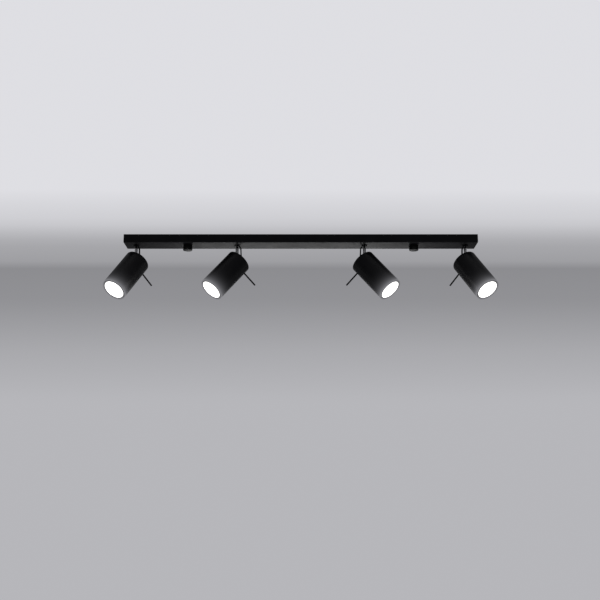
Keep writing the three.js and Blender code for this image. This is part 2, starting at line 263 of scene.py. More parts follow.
def joined(*parts):
    """Several (points, faces) pairs as one pair."""
    firsts = np.cumsum([0] + [len(points) for points, _ in parts[:-1]])
    faces = [faces + first for (_, faces), first in zip(parts, firsts)]
    return np.concatenate([points for points, _ in parts]), np.concatenate(faces)


def moved(part, x, y=0.0):
    """The same part shifted along the X and Y axes."""
    return part[0] + (x, y, 0.0), part[1]


def make_piece(name, part, sharp_angle=32.0):
    """A mesh object: doubles merged, each closed shell's faces turned outwards, and smooth shading
    broken at edges sharper than the given angle."""
    points, faces = part
    mesh = bpy.data.meshes.new(name)
    mesh.from_pydata(points.tolist(), [], faces.tolist())
    work = bmesh.new()
    work.from_mesh(mesh)
    bmesh.ops.remove_doubles(work, verts=work.verts, dist=2e-7)
    bmesh.ops.dissolve_degenerate(work, edges=work.edges, dist=1e-8)
    bmesh.ops.recalc_face_normals(work, faces=work.faces)
    work.to_mesh(mesh)
    work.free()
    mesh.shade_smooth()
    mesh.set_sharp_from_angle(angle=math.radians(sharp_angle))
    piece = bpy.data.objects.new(name, mesh)
    scene.collection.objects.link(piece)
    return piece


def cut(piece, tool_part, sharp_angle=32.0):
    """Takes the tool's volume out of the piece with an exact Boolean and keeps the resulting mesh."""
    tool = make_piece("cutting_tool", tool_part)
    modifier = piece.modifiers.new("cut", "BOOLEAN")
    modifier.operation, modifier.solver, modifier.object = "DIFFERENCE", "EXACT", tool
    bpy.context.view_layer.update()
    result = bpy.data.meshes.new_from_object(piece.evaluated_get(bpy.context.evaluated_depsgraph_get()))
    piece.modifiers.clear()
    piece.data = result
    result.name = piece.name
    result.shade_smooth()
    result.set_sharp_from_angle(angle=math.radians(sharp_angle))
    bpy.data.objects.remove(tool)


def hand_over(piece, body, slot, material, *nodes):
    """Gives a finished piece its material and its body and hides the CAD nodes that it stands for. The slot is
    not used.
    """
    piece.data.materials.clear()
    piece.data.materials.append(material)
    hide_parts(*nodes)
    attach(piece, body)


class Finish(Tree):
    """A material whose Principled shader is fed by nodes that read Object coordinates."""

    def __init__(self, name, roughness=0.5, metallic=0.0, specular=0.5):
        self.material = bpy.data.materials.new(name)
        self.material.use_nodes = True
        super().__init__(self.material.node_tree)
        self.shader = self.tree.nodes["Principled BSDF"]
        self.set("Roughness", roughness)
        self.set("Metallic", metallic)
        self.set("Specular IOR Level", specular)
        self.set("IOR", 1.5)
        self.where = self.node("ShaderNodeTexCoord", out="Object")

    def set(self, socket, value):
        self.feed(self.shader.inputs[socket], value)

    def noise(self, per_metre, detail=3.0, stretch=None):
        """Cloudy noise between 0 and 1 with that many cells in a metre, drawn out by stretch."""
        where = self.where
        if stretch:
            where = self.node("ShaderNodeMapping", sockets={"Vector": where, "Scale": stretch})
        sockets = {"Vector": where, "Scale": per_metre, "Detail": detail, "Roughness": 0.55}
        return self.node("ShaderNodeTexNoise", sockets=sockets)

    def ramp(self, value, low, high):
        """The value between low and high spread over 0 to 1."""
        sockets = {"Value": value, "From Min": low, "From Max": high}
        return self.node("ShaderNodeMapRange", sockets=sockets)

    def colour(self, share, first, second):
        """A colour that goes from first to second as share goes from 0 to 1."""
        return self.node("ShaderNodeMix", {"data_type": "RGBA"}, {0: share, 6: first, 7: second}, out=2)

    def bump(self, height, depth):
        """Raises the surface by height times depth, in metres."""
        sockets = {"Height": height, "Distance": depth, "Strength": 1.0}
        self.set("Normal", self.node("ShaderNodeBump", sockets=sockets))


def powder_coat(name, level, roughness, peel=0.00006):
    """Matte black powder coat: a fine orange peel, a finer grain, and faint dusty clouds that are
    a little lighter and rougher than the coat."""
    finish = Finish(name, specular=0.22)
    peel_noise = finish.noise(700.0, 2.0)
    grain = finish.noise(3600.0, 2.0)
    dust = finish.ramp(finish.noise(26.0, 6.0), 0.42, 0.78)
    tint = finish.colour(dust, grey(level, level * 0.25), grey(level * 1.9, level * 0.4))
    finish.set("Base Color", tint)
    finish.set("Roughness", roughness + 0.1 * (grain - 0.5) + 0.08 * dust)
    finish.bump(peel_noise * 0.7 + grain * 0.3, peel)
    return finish


BAR_COAT = powder_coat("bar_powder_coat", 0.0065, 0.35).material

low, high = (np.array(corner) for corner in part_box("bar_housing"))
half_length, half_width, bar_height = high[0], high[1], high[2] - low[2]
under, floor = -bar_height, -bar_height + SHEET
tray_profile = rounded(
    [(half_width, floor), (SHEET, floor), (SHEET, 0.0), (0.0, 0.0), (0.0, under), (half_width, under)],
    [0.0, INNER_FOLD, RIM, RIM, OUTER_FOLD, 0.0],
    steps=6,
)
housing = make_piece("housing_tray", around_rim(half_length, half_width, CORNER, tray_profile))

stem_places = [np.array(j["pos_m"]) for j in frame["joints"] if j["name"].endswith("_pan")]
stud_places = [np.array(j["pos_m"]) for j in frame["joints"] if j["name"].endswith("_nut_turn")]
tool_low, tool_high = under - OVERSHOOT, floor + OVERSHOOT
round_tool = [(0.0, tool_low), (1.0, tool_low), (1.0, tool_high), (0.0, tool_high)]
tools = [
    moved(turned(np.array(round_tool) * (radius, 1.0), 48), place[0])
    for radius, places in ((SHANK_HOLE, stem_places), (STUD_HOLE, stud_places))
    for place in places
]
seam_low, seam_high = under - OVERSHOOT / 2, OVERSHOOT / 2
seam_profile = [(SEAM, seam_low), (0.0, seam_low), (0.0, seam_high), (SEAM, seam_high)]
seam_tool = around_rim(SEAM, SEAM, 0.0, seam_profile, steps=0)
tools += [
    moved(seam_tool, side_x * half_length, side_y * (half_width - SHEET * 1.4))
    for side_x in (-1, 1)
    for side_y in (-1, 1)
]
cut(housing, joined(*tools))
hand_over(housing, "bar", "black_paint", BAR_COAT, "bar_housing")


# ---------------------------------------------------------------------------
# Mounting strap. A 1.5 mm strip of zinc plated steel with round ends and four screw slots, which
# is screwed to the ceiling. Its edges are softened by tumbling.
STRAP_EDGE = 0.00025
SLOT_LENGTH, SLOT_WIDTH = 0.024, 0.0052
SLOT_PLACES = (-0.2, -0.08, 0.08, 0.2)


def zinc_plate(name):
    """Zinc plating: bright grey metal with a faint crystal pattern and smeared, duller patches."""
    finish = Finish(name, metallic=1.0)
    crystal = finish.node("ShaderNodeTexVoronoi", sockets={"Vector": finish.where, "Scale": 420.0}, out=1)
    level = finish.node("ShaderNodeSeparateColor", sockets={0: crystal})
    patch = finish.ramp(finish.noise(30.0, 5.0), 0.35, 0.7)
    finish.set("Base Color", finish.colour(0.6 * level + 0.4 * patch, grey(0.42, 0.01), grey(0.62, 0.02)))
    finish.set("Roughness", 0.3 + 0.18 * patch + 0.06 * level)
    finish.bump(finish.noise(2400.0, 2.0), 0.00002)
    return finish.material


ZINC = zinc_plate("zinc_plating")

low, high = (np.array(corner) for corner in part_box("mounting_strap"))
strap_half_x, strap_half_y = high[0], high[1]
strap_profile = rounded(
    [(strap_half_y, high[2]), (0.0, high[2]), (0.0, low[2]), (strap_half_y, low[2])], STRAP_EDGE
)
strap = make_piece("ceiling_strap", around_rim(strap_half_x, strap_half_y, strap_half_y, strap_profile, 24))
slot_high, slot_low = 2 * OVERSHOOT, -2 * OVERSHOOT
slot_profile = [(SLOT_WIDTH / 2, slot_high), (0.0, slot_high), (0.0, slot_low), (SLOT_WIDTH / 2, slot_low)]
slot_tool = around_rim(SLOT_LENGTH / 2, SLOT_WIDTH / 2, SLOT_WIDTH / 2, slot_profile, 10)
cut(strap, joined(*(moved(slot_tool, x) for x in SLOT_PLACES)))
hand_over(strap, "bar", "zinc_plate", ZINC, "mounting_strap")


# ---------------------------------------------------------------------------
# Studs. Two M4 threaded studs, each with a collar riveted under the strap; they pass through
# the bar's floor and carry the finger nuts.
STUD_RADIUS, STUD_PITCH, THREAD_DEPTH, THREAD_STARTS = 0.002, 0.0007, 0.00022, 0.0024
COLLAR_RADIUS, COLLAR_THICK, COLLAR_EDGE = 0.0042, 0.002, 0.0003


def thread_rows(radius, depth, pitch, start, end):
    """(radius, height) pairs of a thread seen from the side: crest, flank, root, flank per pitch."""
    height = np.arange(start, end, math.copysign(pitch / 2, end - start))
    wave = np.where(np.arange(len(height)) % 2 == 0, radius, radius - depth)
    return np.stack([wave, height], -1)


for side, place in zip(("left", "right"), stud_places):
    low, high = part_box(f"{side}_stud")
    top, under_collar = high[2], high[2] - COLLAR_THICK
    collar = rounded(
        [(0, top), (COLLAR_RADIUS, top), (COLLAR_RADIUS, under_collar), (STUD_RADIUS, under_collar)],
        COLLAR_EDGE,
    )
    thread = thread_rows(STUD_RADIUS, THREAD_DEPTH, STUD_PITCH, top - THREAD_STARTS, low[2] + STUD_PITCH)
    tip = [(STUD_RADIUS - 0.0006, low[2]), (0.0, low[2])]
    part = moved(turned(np.concatenate([collar, thread, tip]), 40), place[0])
    stud = make_piece(f"{side}_threaded_stud", part, 50)
    hand_over(stud, "bar", "zinc_plate", ZINC, f"{side}_stud")


# ---------------------------------------------------------------------------
# Finger nuts. Plain black cylinders with a blind threaded hole, screwed up against the bar by
# hand. They are turned from rod, softly chamfered and powder coated.
NUT_CHAMFER, NUT_TOP_EDGE, NUT_WEB, NUT_PLAY = 0.0009, 0.0005, 0.0015, 0.00025


def turned_coat(name, centre_x, centre_y):
    """Powder coat over a turned face: the coat above, with faint rings about the nut's axis."""
    finish = Finish(name, specular=0.34)
    grain = finish.noise(3600.0, 2.0)
    centred = finish.node("ShaderNodeMapping", {"vector_type": "POINT"},
                          {"Vector": finish.where, "Location": (-centre_x, -centre_y, 0.0)})
    x = finish.node("ShaderNodeSeparateXYZ", sockets={0: centred}, out=0)
    y = finish.node("ShaderNodeSeparateXYZ", sockets={0: centred}, out=1)
    reach = (x * x + y * y) ** 0.5
    rings = finish.node("ShaderNodeMath", {"operation": "SINE"}, {0: reach * 9000.0})
    finish.set("Base Color", finish.colour(finish.ramp(grain, 0.3, 0.8), grey(0.0055), grey(0.01)))
    finish.set("Roughness", 0.3 + 0.1 * (grain - 0.5) + 0.03 * rings)
    finish.bump(grain * 0.5 + rings * 0.12, 0.00005)
    return finish.material


for side, place in zip(("left", "right"), stud_places):
    low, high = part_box(f"{side}_finger_nut")
    radius, bore = (high[0] - low[0]) / 2, STUD_RADIUS + NUT_PLAY
    bottom, top = low[2], high[2]
    inside = bottom + NUT_WEB
    profile = rounded(
        [(0, inside), (bore, inside), (bore, top), (radius, top), (radius, bottom), (0, bottom)],
        [0, 0.0002, 0.0002, NUT_TOP_EDGE, NUT_CHAMFER, 0],
        steps=5,
    )
    nut = make_piece(f"{side}_turned_finger_nut", moved(turned(profile, 112), place[0]), 40)
    coat = turned_coat(f"{side}_nut_coat", place[0], place[1])
    hand_over(nut, f"{side}_nut", "black_paint", coat, f"{side}_finger_nut")


# ---------------------------------------------------------------------------
# Terminal block and earth screw. A moulded three-way block and a turned screw, both under the
# strap; the CAD solids have their real shape and take a moulded and a turned finish.


def moulded(name, level, roughness, warm=0.0):
    """Moulded or pressed white material: a satin skin with a soft mottle and fine pits."""
    finish = Finish(name, specular=0.4)
    mottle = finish.noise(120.0, 4.0)
    pits = finish.noise(2600.0, 2.0)
    pale = (level, level - warm * 0.4, level - warm, 1.0)
    dull = (level * 0.86, level * 0.86 - warm * 0.5, level * 0.85 - warm, 1.0)
    finish.set("Base Color", finish.colour(finish.ramp(mottle, 0.35, 0.7), pale, dull))
    finish.set("Roughness", roughness + 0.14 * (mottle - 0.5))
    finish.bump(pits, 0.00003)
    return finish.material


def turned_steel(name):
    """Plain turned steel: grey metal with fine drawn scratches and slightly darker oil stains."""
    finish = Finish(name, metallic=1.0)
    drawn = finish.noise(900.0, 3.0, stretch=(1.0, 1.0, 9.0))
    stain = finish.ramp(finish.noise(90.0, 4.0), 0.4, 0.75)
    finish.set("Base Color", finish.colour(stain, grey(0.46), grey(0.3)))
    finish.set("Roughness", 0.26 + 0.2 * drawn + 0.1 * stain)
    finish.bump(drawn, 0.000025)
    return finish.material


CERAMIC = moulded("pressed_ceramic", 0.72, 0.6, warm=0.06)
BLOCK_PLASTIC = moulded("block_plastic", 0.66, 0.42)
STEEL = turned_steel("turned_steel")


def refinish(node, material):
    """Keeps a CAD node's shape and gives it a finer material."""
    cad = frame["nodes"][node]
    cad.data.materials.clear()
    cad.data.materials.append(material)


refinish("terminal_block", BLOCK_PLASTIC)
refinish("earth_screw", STEEL)


# ---------------------------------------------------------------------------
# Wiring looms. From the terminal block two insulated wires, twisted together, run along the
# bar's floor to each swivel and down into its hollow shank.
WIRE_RADIUS, TWIST_PITCH = 0.00062, 0.02
BLOCK_END, LOOM_START_Y, LOOM_HIGH, LOOM_LOW = 0.019, 0.0053, -0.0082, -0.0127
NEAR_LANE, FAR_LANE, LOOM_BEND = 0.006, 0.013, 0.045
SHANK_TOP = -0.0115


def smooth_path(knots, per_span):
    """A Catmull-Rom curve through the knots: each span is the cubic whose end slopes are half the
    difference of the neighbouring knots."""
    k = np.asarray(knots, float)
    k = np.vstack([2 * k[0] - k[1], k, 2 * k[-1] - k[-2]])
    t = np.linspace(0.0, 1.0, per_span, endpoint=False)[:, None]
    a, b, c, d = k[:-3, None], k[1:-2, None], k[2:-1, None], k[3:, None]
    span = 0.5 * (2 * b + (c - a) * t + (2 * a - 5 * b + 4 * c - d) * t**2 + (3 * b - a - 3 * c + d) * t**3)
    return np.vstack([span.reshape(-1, 3), k[-2]])


def along(path):
    """Unit directions and distances from the start at the points of a path."""
    way = np.gradient(path, axis=0)
    steps = np.linalg.norm(np.diff(path, axis=0), axis=1)
    return way / np.linalg.norm(way, axis=1)[:, None], np.concatenate([[0.0], np.cumsum(steps)])


def tube(path, radius, sideways, sides):
    """A round wire along a path: circles in the plane of sideways x direction and its normal, with
    a point at both ends to close it."""
    path = np.asarray(path, float)
    way, _ = along(path)
    first = np.cross(way, sideways)
    first /= np.linalg.norm(first, axis=1)[:, None]
    second = np.cross(way, first)
    a = np.linspace(0.0, 2 * math.pi, sides, endpoint=False)[None, :, None]
    rings = path[:, None] + radius * (np.cos(a) * first[:, None] + np.sin(a) * second[:, None])
    ends = [np.broadcast_to(path[i], (1, sides, 3)) for i in (0, -1)]
    points = np.concatenate([ends[0], rings, ends[1]])
    return points.reshape(-1, 3), grid_faces(len(path) + 2, sides, wrap_columns=True)


def sleeving(name, level, red=0.0):
    """Woven glass sleeving over the wires: fine crossing threads and slight soiling."""
    finish = Finish(name, specular=0.25)
    threads = [
        finish.node("ShaderNodeTexWave", {"wave_type": "BANDS", "bands_direction": "X"},
                    {"Vector": finish.node("ShaderNodeMapping", sockets={"Vector": finish.where,
                                                                         "Rotation": (0.0, 0.0, turn)}),
                     "Scale": 520.0, "Distortion": 0.4})
        for turn in (0.7, -0.7)
    ]
    weave = threads[0] * threads[1]
    soil = finish.ramp(finish.noise(60.0, 5.0), 0.4, 0.75)
    clean = (level + red, level, level * 0.94, 1.0)
    used = (level * 0.8 + red, level * 0.77, level * 0.7, 1.0)
    finish.set("Base Color", finish.colour(soil, clean, used))
    finish.set("Roughness", 0.62 + 0.12 * weave)
    finish.bump(weave, 0.00005)
    return finish.material


SLEEVING = sleeving("glass_sleeving", 0.6)


def twisted_pair(path):
    """Two wires that wind round the path once every pitch, half a turn apart."""
    way, far = along(path)
    first = np.cross(way, (0.0, 0.0, 1.0))
    first /= np.linalg.norm(first, axis=1)[:, None]
    second = np.cross(way, first)
    turn = (2 * math.pi * far / TWIST_PITCH)[:, None]
    swing = WIRE_RADIUS * 1.02 * (np.cos(turn) * first + np.sin(turn) * second)
    return [tube(path + side * swing, WIRE_RADIUS, (0.0, 0.0, 1.0), 10) for side in (1, -1)]


for side, sign in (("left", -1), ("right", 1)):
    runs = []
    near, far = abs(stem_places[1][0]), abs(stem_places[0][0])
    for reach, lane in ((near, NEAR_LANE), (far, FAR_LANE)):
        knots = np.array([
            (BLOCK_END, LOOM_START_Y, LOOM_HIGH), (BLOCK_END + 0.011, LOOM_START_Y, LOOM_HIGH - 0.001),
            (BLOCK_END + LOOM_BEND, lane, LOOM_LOW), (reach - LOOM_BEND, lane, LOOM_LOW),
            (reach - 0.01, 0.0025, SHANK_TOP + 0.0025), (reach - 0.001, 0.0003, SHANK_TOP + 0.0015),
            (reach, 0.0, SHANK_TOP - 0.0008)])
        path = smooth_path(knots * (sign, 1.0, 1.0), 60)
        runs += twisted_pair(path)
    loom = make_piece(f"{side}_twisted_loom", joined(*runs), 60)
    hand_over(loom, "bar", "wire_insulation", SLEEVING, f"{side}_wiring_loom")


# ---------------------------------------------------------------------------
# Swivel stems. Each spot hangs on a black turned piece: a hollow threaded shank through the bar,
# a small flange below it and a thin solid stem. The frame's joints say where each one stands.
SHANK_RADIUS, SHANK_BORE, SHANK_PITCH, SHANK_THREAD = 0.005, 0.004, 0.001, 0.0003
FLANGE_RADIUS, FLANGE_EDGE, FLANGE_THICK = 0.0064, 0.0004, 0.0016
STEM_RADIUS, STEM_END = 0.0022, -0.0255
BORE_WEB = 0.0014
CLEARANCE = 0.0003

joints = {joint["name"]: joint for joint in frame["joints"]}
spot_names = sorted(name[: -len("_pan")] for name in joints if name.endswith("_pan"))


class Place:
    """Where a spot's pieces go: three unit directions as columns and an origin."""

    def __init__(self, up, sideways, origin):
        up, sideways = (np.array(v) / np.linalg.norm(v) for v in (up, sideways))
        self.turn = np.stack([np.cross(sideways, up), sideways, up], -1)
        self.origin = np.array(origin, float)

    def point(self, *xyz):
        return self.turn @ np.array(xyz, float) + self.origin

    def points(self, xyz):
        return np.asarray(xyz, float) @ self.turn.T + self.origin

    def part(self, part):
        return self.points(part[0]), part[1]


swivel_place, head_place = {}, {}
for spot in spot_names:
    tilt, pan, twist = (joints[f"{spot}_{kind}"] for kind in ("tilt", "pan", "lamp_twist"))
    swivel_place[spot] = Place((0, 0, 1), tilt["axis"], (pan["pos_m"][0], pan["pos_m"][1], 0.0))
    head_place[spot] = Place(twist["axis"], tilt["axis"], tilt["pos_m"])
pivot_height = joints[spot_names[0] + "_tilt"]["pos_m"][2]

STEM_COAT = powder_coat("stem_coat", 0.0065, 0.42, peel=0.00003).material
flange_top = under - CLEARANCE
flange_bottom = flange_top - FLANGE_THICK
stem_end = STEM_END + CLEARANCE
bore_end = flange_bottom + BORE_WEB
stem_profile = np.concatenate([
    rounded([(0, stem_end), (STEM_RADIUS, stem_end), (STEM_RADIUS, flange_bottom),
             (FLANGE_RADIUS, flange_bottom), (FLANGE_RADIUS, flange_top), (SHANK_RADIUS, flange_top)],
            [0, 0.0003, 0.0005, FLANGE_EDGE, FLANGE_EDGE, 0]),
    thread_rows(SHANK_RADIUS, SHANK_THREAD, SHANK_PITCH, flange_top + 0.0005, SHANK_TOP - SHANK_THREAD),
    rounded([(SHANK_RADIUS - SHANK_THREAD, SHANK_TOP), (SHANK_BORE, SHANK_TOP), (SHANK_BORE, bore_end),
             (0, bore_end)], 0.0002),
])
for spot in spot_names:
    stem = make_piece(f"{spot}_turned_stem", swivel_place[spot].part(turned(stem_profile, 64)), 45)
    hand_over(stem, f"{spot}_swivel", "black_paint", STEM_COAT, f"{spot}_swivel_stem")


# ---------------------------------------------------------------------------
# Swivel nuts. A thin M10 hexagon nut in the bar clamps each swivel with light friction. It is
# chamfered at both faces and plain turned steel.
NUT_FLATS, NUT_HEIGHT = 0.014, 0.0032


def hexagon_nut(flats, bore, bottom, top):
    """At angle a and depth d below a face the outside is the smaller of the hexagon's radius,
    (flats / 2) / cos(a - 30 degrees) in each sixth, and the chamfer cone, flats / 2 + 1.73 d."""
    depth = np.linspace(0.0, 0.0008, 5)
    height = np.concatenate([[bottom], bottom + depth, (top - depth)[::-1], [top]])
    cone = flats / 2 + 1.73 * np.concatenate([[0], depth, depth[::-1], [0]])
    a = np.linspace(0.0, 2 * math.pi, 72, endpoint=False)
    hexagon = flats / 2 / np.cos(a % (math.pi / 3) - math.pi / 6)
    outside = np.minimum(hexagon[None, :], cone[:, None])
    outside[[0, -1]] = bore
    points = np.stack(np.broadcast_arrays(outside * np.cos(a), outside * np.sin(a), height[:, None]), -1)
    return points.reshape(-1, 3), grid_faces(len(height), len(a), wrap_rows=True, wrap_columns=True)


for spot in spot_names:
    part = hexagon_nut(NUT_FLATS, SHANK_RADIUS + 0.00015, floor + CLEARANCE, floor + CLEARANCE + NUT_HEIGHT)
    nut = make_piece(f"{spot}_hexagon_nut", swivel_place[spot].part(part), 28)
    hand_over(nut, f"{spot}_swivel", "steel", STEEL, f"{spot}_swivel_nut")


# ---------------------------------------------------------------------------
# Tilt links. A bright nickel plated rod screwed on the stem's end; its lower half is forged flat
# and ends in the eye that the barrel tilts on.
LINK_RADIUS, LINK_HALF_FLAT, EYE_RADIUS = 0.0035, 0.0017, 0.0046
FLAT_STARTS, FLAT_BLEND, EYE_STARTS, LINK_EDGE = 0.013, 0.0032, 0.006, 0.0005


def bright_metal(name):
    """Polished nickel: clear reflections with hairline turning marks and faint finger smears."""
    finish = Finish(name, metallic=1.0)
    hairline = finish.noise(2200.0, 2.0, stretch=(1.0, 1.0, 6.0))
    smear = finish.ramp(finish.noise(160.0, 4.0), 0.4, 0.7)
    finish.set("Base Color", finish.colour(smear, grey(0.78, 0.01), grey(0.66, 0.01)))
    finish.set("Roughness", 0.14 + 0.1 * smear + 0.06 * hairline)
    finish.bump(hairline, 0.000008)
    return finish.material


NICKEL = bright_metal("polished_nickel")


def forged_link(top, pivot):
    """Sections from top to eye are superellipses |x/a|^n + |y/b|^n = 1: a circle above, where n is
    2, and a flat bar below, where b shrinks, n grows to 6 and a follows the eye's circle."""
    eye = np.linspace(math.pi / 2, 0.0, 14)
    height = np.concatenate([
        [top], top - LINK_EDGE * (1 - np.cos(np.linspace(0.0, math.pi / 2, 5))),
        np.linspace(top - 2 * LINK_EDGE, pivot + EYE_STARTS, 40), pivot + EYE_RADIUS * np.cos(eye)[::-1] * 0.9,
        pivot - EYE_RADIUS * np.sin(np.linspace(0.0, math.pi / 2, 16))])
    height = np.unique(height)[::-1]
    flat = np.clip((pivot + FLAT_STARTS + FLAT_BLEND / 2 - height) / FLAT_BLEND, 0.0, 1.0)
    flat = flat * flat * (3 - 2 * flat)
    swell = np.clip((pivot + EYE_STARTS - height) / EYE_STARTS, 0.0, 1.0)
    wide = LINK_RADIUS + (EYE_RADIUS - LINK_RADIUS) * swell * swell * (3 - 2 * swell)
    below = np.clip((pivot - height) / EYE_RADIUS, 0.0, 1.0)
    wide = wide * np.sqrt(1 - below**2)
    edge = np.clip((top - height) / LINK_EDGE, 0.0, 1.0)
    wide = wide - LINK_EDGE * (1 - np.sqrt(1 - (1 - edge) ** 2))
    thick = LINK_RADIUS + (LINK_HALF_FLAT - LINK_RADIUS) * flat
    thick = thick - LINK_EDGE * (1 - np.sqrt(1 - (1 - edge) ** 2))
    power = 2.0 / (2.0 + 4.0 * flat[:, None])
    a = np.linspace(0.0, 2 * math.pi, 56, endpoint=False)
    x = wide[:, None] * np.sign(np.cos(a)) * np.abs(np.cos(a)) ** power
    y = thick[:, None] * np.sign(np.sin(a)) * np.abs(np.sin(a)) ** power
    rings = np.stack(np.broadcast_arrays(x, y, height[:, None]), -1)
    cap = np.broadcast_to([[(0.0, 0.0, top)]], (1, len(a), 3))
    points = np.concatenate([cap, rings])
    return points.reshape(-1, 3), grid_faces(len(points), len(a), wrap_columns=True)


for spot in spot_names:
    link_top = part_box(f"{spot}_tilt_link")[1][2]
    part = swivel_place[spot].part(forged_link(link_top, pivot_height))
    link = make_piece(f"{spot}_forged_link", part, 40)
    hand_over(link, f"{spot}_swivel", "bright_metal", NICKEL, f"{spot}_tilt_link")


# ---------------------------------------------------------------------------
# Barrels. Each is one drawn steel cup, 1.5 mm thick, with a softly rounded closed end, a rolled
# open edge, a slot for the tilt link and a hole for the lead, powder coated inside and out. The
# lamp's stray light near the mouth is a painted glow in the coat's emission, exp(-distance / HALO_FADE).
BARREL_WALL, CAP_CORNER, MOUTH_EDGE = 0.0015, 0.002, 0.0007
LINK_SLOT_HALF, LINK_SLOT_FRONT = 0.0039, 0.0212
LEAD_HOLE_X, LEAD_HOLE = 0.0098, 0.0032
PIVOT_TO_CAP, BARREL_RADIUS, BARREL_LENGTH = 0.008, 0.0285, 0.101

cap, mouth = PIVOT_TO_CAP, PIVOT_TO_CAP - BARREL_LENGTH
inner = BARREL_RADIUS - BARREL_WALL
barrel_profile = rounded(
    [(0, cap - BARREL_WALL), (inner, cap - BARREL_WALL), (inner, mouth), (BARREL_RADIUS, mouth),
     (BARREL_RADIUS, cap), (0, cap)],
    [0, CAP_CORNER - BARREL_WALL, MOUTH_EDGE, MOUTH_EDGE, CAP_CORNER, 0],
    steps=8,
)
slot_middle = (LINK_SLOT_HALF - LINK_SLOT_FRONT) / 2
slot_half_x = (LINK_SLOT_HALF + LINK_SLOT_FRONT) / 2
above_cap, below_cap = cap + OVERSHOOT, cap - 2 * OVERSHOOT
link_slot_tool = moved(around_rim(
    slot_half_x, LINK_SLOT_HALF, LINK_SLOT_HALF,
    [(LINK_SLOT_HALF, above_cap), (0, above_cap), (0, below_cap), (LINK_SLOT_HALF, below_cap)],
    12,
), slot_middle)
lead_hole_tool = moved(turned(
    [(0, above_cap), (LEAD_HOLE, above_cap), (LEAD_HOLE, below_cap), (0, below_cap)], 40
), LEAD_HOLE_X)
# Painted glow: the coat's emission stands in for the lamp's stray light and fades away from the mouth
HALO, HALO_FADE = 0.21, 0.0088
barrel_finish = powder_coat("barrel_powder_coat", 0.0065, 0.35, peel=0.00005)
from_mouth = barrel_finish.node("ShaderNodeAttribute", {"attribute_name": "from_mouth"}, out="Fac")
halo = barrel_finish.node("ShaderNodeMath", {"operation": "EXPONENT"}, {0: from_mouth * (-1.0 / HALO_FADE)})
barrel_finish.set("Emission Color", barrel_finish.colour(halo, grey(0.0), grey(HALO, 0.015)))
barrel_finish.set("Emission Strength", 1.0)


def give_attribute(piece, name, values):
    """Stores one number for each point of a finished mesh."""
    layer = piece.data.attributes.new(name, "FLOAT", "POINT")
    layer.data.foreach_set("value", values.astype(np.float32))


def own_points(piece, place):
    """The mesh's points in the frame of its place."""
    points = np.zeros(len(piece.data.vertices) * 3, np.float32)
    piece.data.vertices.foreach_get("co", points)
    return (points.reshape(-1, 3) - place.origin) @ place.turn


for spot in spot_names:
    place = head_place[spot]
    barrel = make_piece(f"{spot}_drawn_barrel", place.part(turned(barrel_profile, 144)), 30)
    cut(barrel, place.part(joined(link_slot_tool, lead_hole_tool)), 30)
    give_attribute(barrel, "from_mouth", own_points(barrel, place)[:, 2] - mouth)
    hand_over(barrel, f"{spot}_head", "black_paint", barrel_finish.material, f"{spot}_barrel")


# ---------------------------------------------------------------------------
# Carriers, pivot pins and lamp holders. The zinc plated bracket, the riveted pin and the pressed
# ceramic holder sit inside the barrel; their CAD solids stay and take their finishes.
for spot in spot_names:
    refinish(f"{spot}_carrier", ZINC)
    refinish(f"{spot}_pivot_pin", STEEL)
    refinish(f"{spot}_lamp_holder", CERAMIC)


# ---------------------------------------------------------------------------
# Handles. A thin black rod screwed into the barrel's back side, to aim the hot spot by. Its end
# is rounded over.
HANDLE_RADIUS, HANDLE_REACH, HANDLE_ROOT, HANDLE_BELOW_CAP = 0.00175, 0.037, 0.004, 0.0114
HANDLE_COAT = powder_coat("handle_coat", 0.0045, 0.5, peel=0.00003).material
handle_start, handle_end = BARREL_RADIUS - HANDLE_ROOT, BARREL_RADIUS + HANDLE_REACH
handle_profile = rounded([(0, handle_start), (HANDLE_RADIUS, handle_start), (HANDLE_RADIUS, handle_end),
                          (0, handle_end)], [0, 0.0002, 0.0011, 0], steps=7)
for spot in spot_names:
    points, faces = turned(handle_profile, 40)
    lying = points[:, [2, 1, 0]] + (0.0, 0.0, cap - HANDLE_BELOW_CAP)
    handle = make_piece(f"{spot}_handle_rod", head_place[spot].part((lying, faces)), 50)
    hand_over(handle, f"{spot}_head", "black_paint", HANDLE_COAT, f"{spot}_handle")


# ---------------------------------------------------------------------------
# Leads and grommets. A flat black lead of two cores side by side leaves the swivel's flange behind
# the stem, bends over in a small loop and enters the barrel's cap through a soft rubber grommet.
CORE_RADIUS = 0.00105
LEAD_TOP = [(0.0019, -0.013), (0.0021, -0.016), (0.0035, -0.0192), (0.0062, -0.0213), (0.0084, -0.0234),
            (0.0095, -0.027), (0.0098, -0.032), (0.0106, -0.042), (0.0132, -0.0525)]
LEAD_END = [(0.0095, 0.0106), (0.0098, 0.0074), (0.0098, 0.003), (0.0098, -0.008), (0.0106, -0.024)]
GROMMET_FLANGE, GROMMET_LIP = 0.004, 0.0012


def soft_rubber(name, level, roughness):
    """Black rubber or soft plastic: a matte skin with fine specks and slightly greyed patches."""
    finish = Finish(name, specular=0.35)
    speck = finish.noise(2800.0, 2.0)
    bloom = finish.ramp(finish.noise(140.0, 4.0), 0.45, 0.8)
    finish.set("Base Color", finish.colour(bloom, grey(level), grey(level * 2.2)))
    finish.set("Roughness", roughness + 0.12 * (speck - 0.5) + 0.08 * bloom)
    finish.bump(speck, 0.00002)
    return finish.material


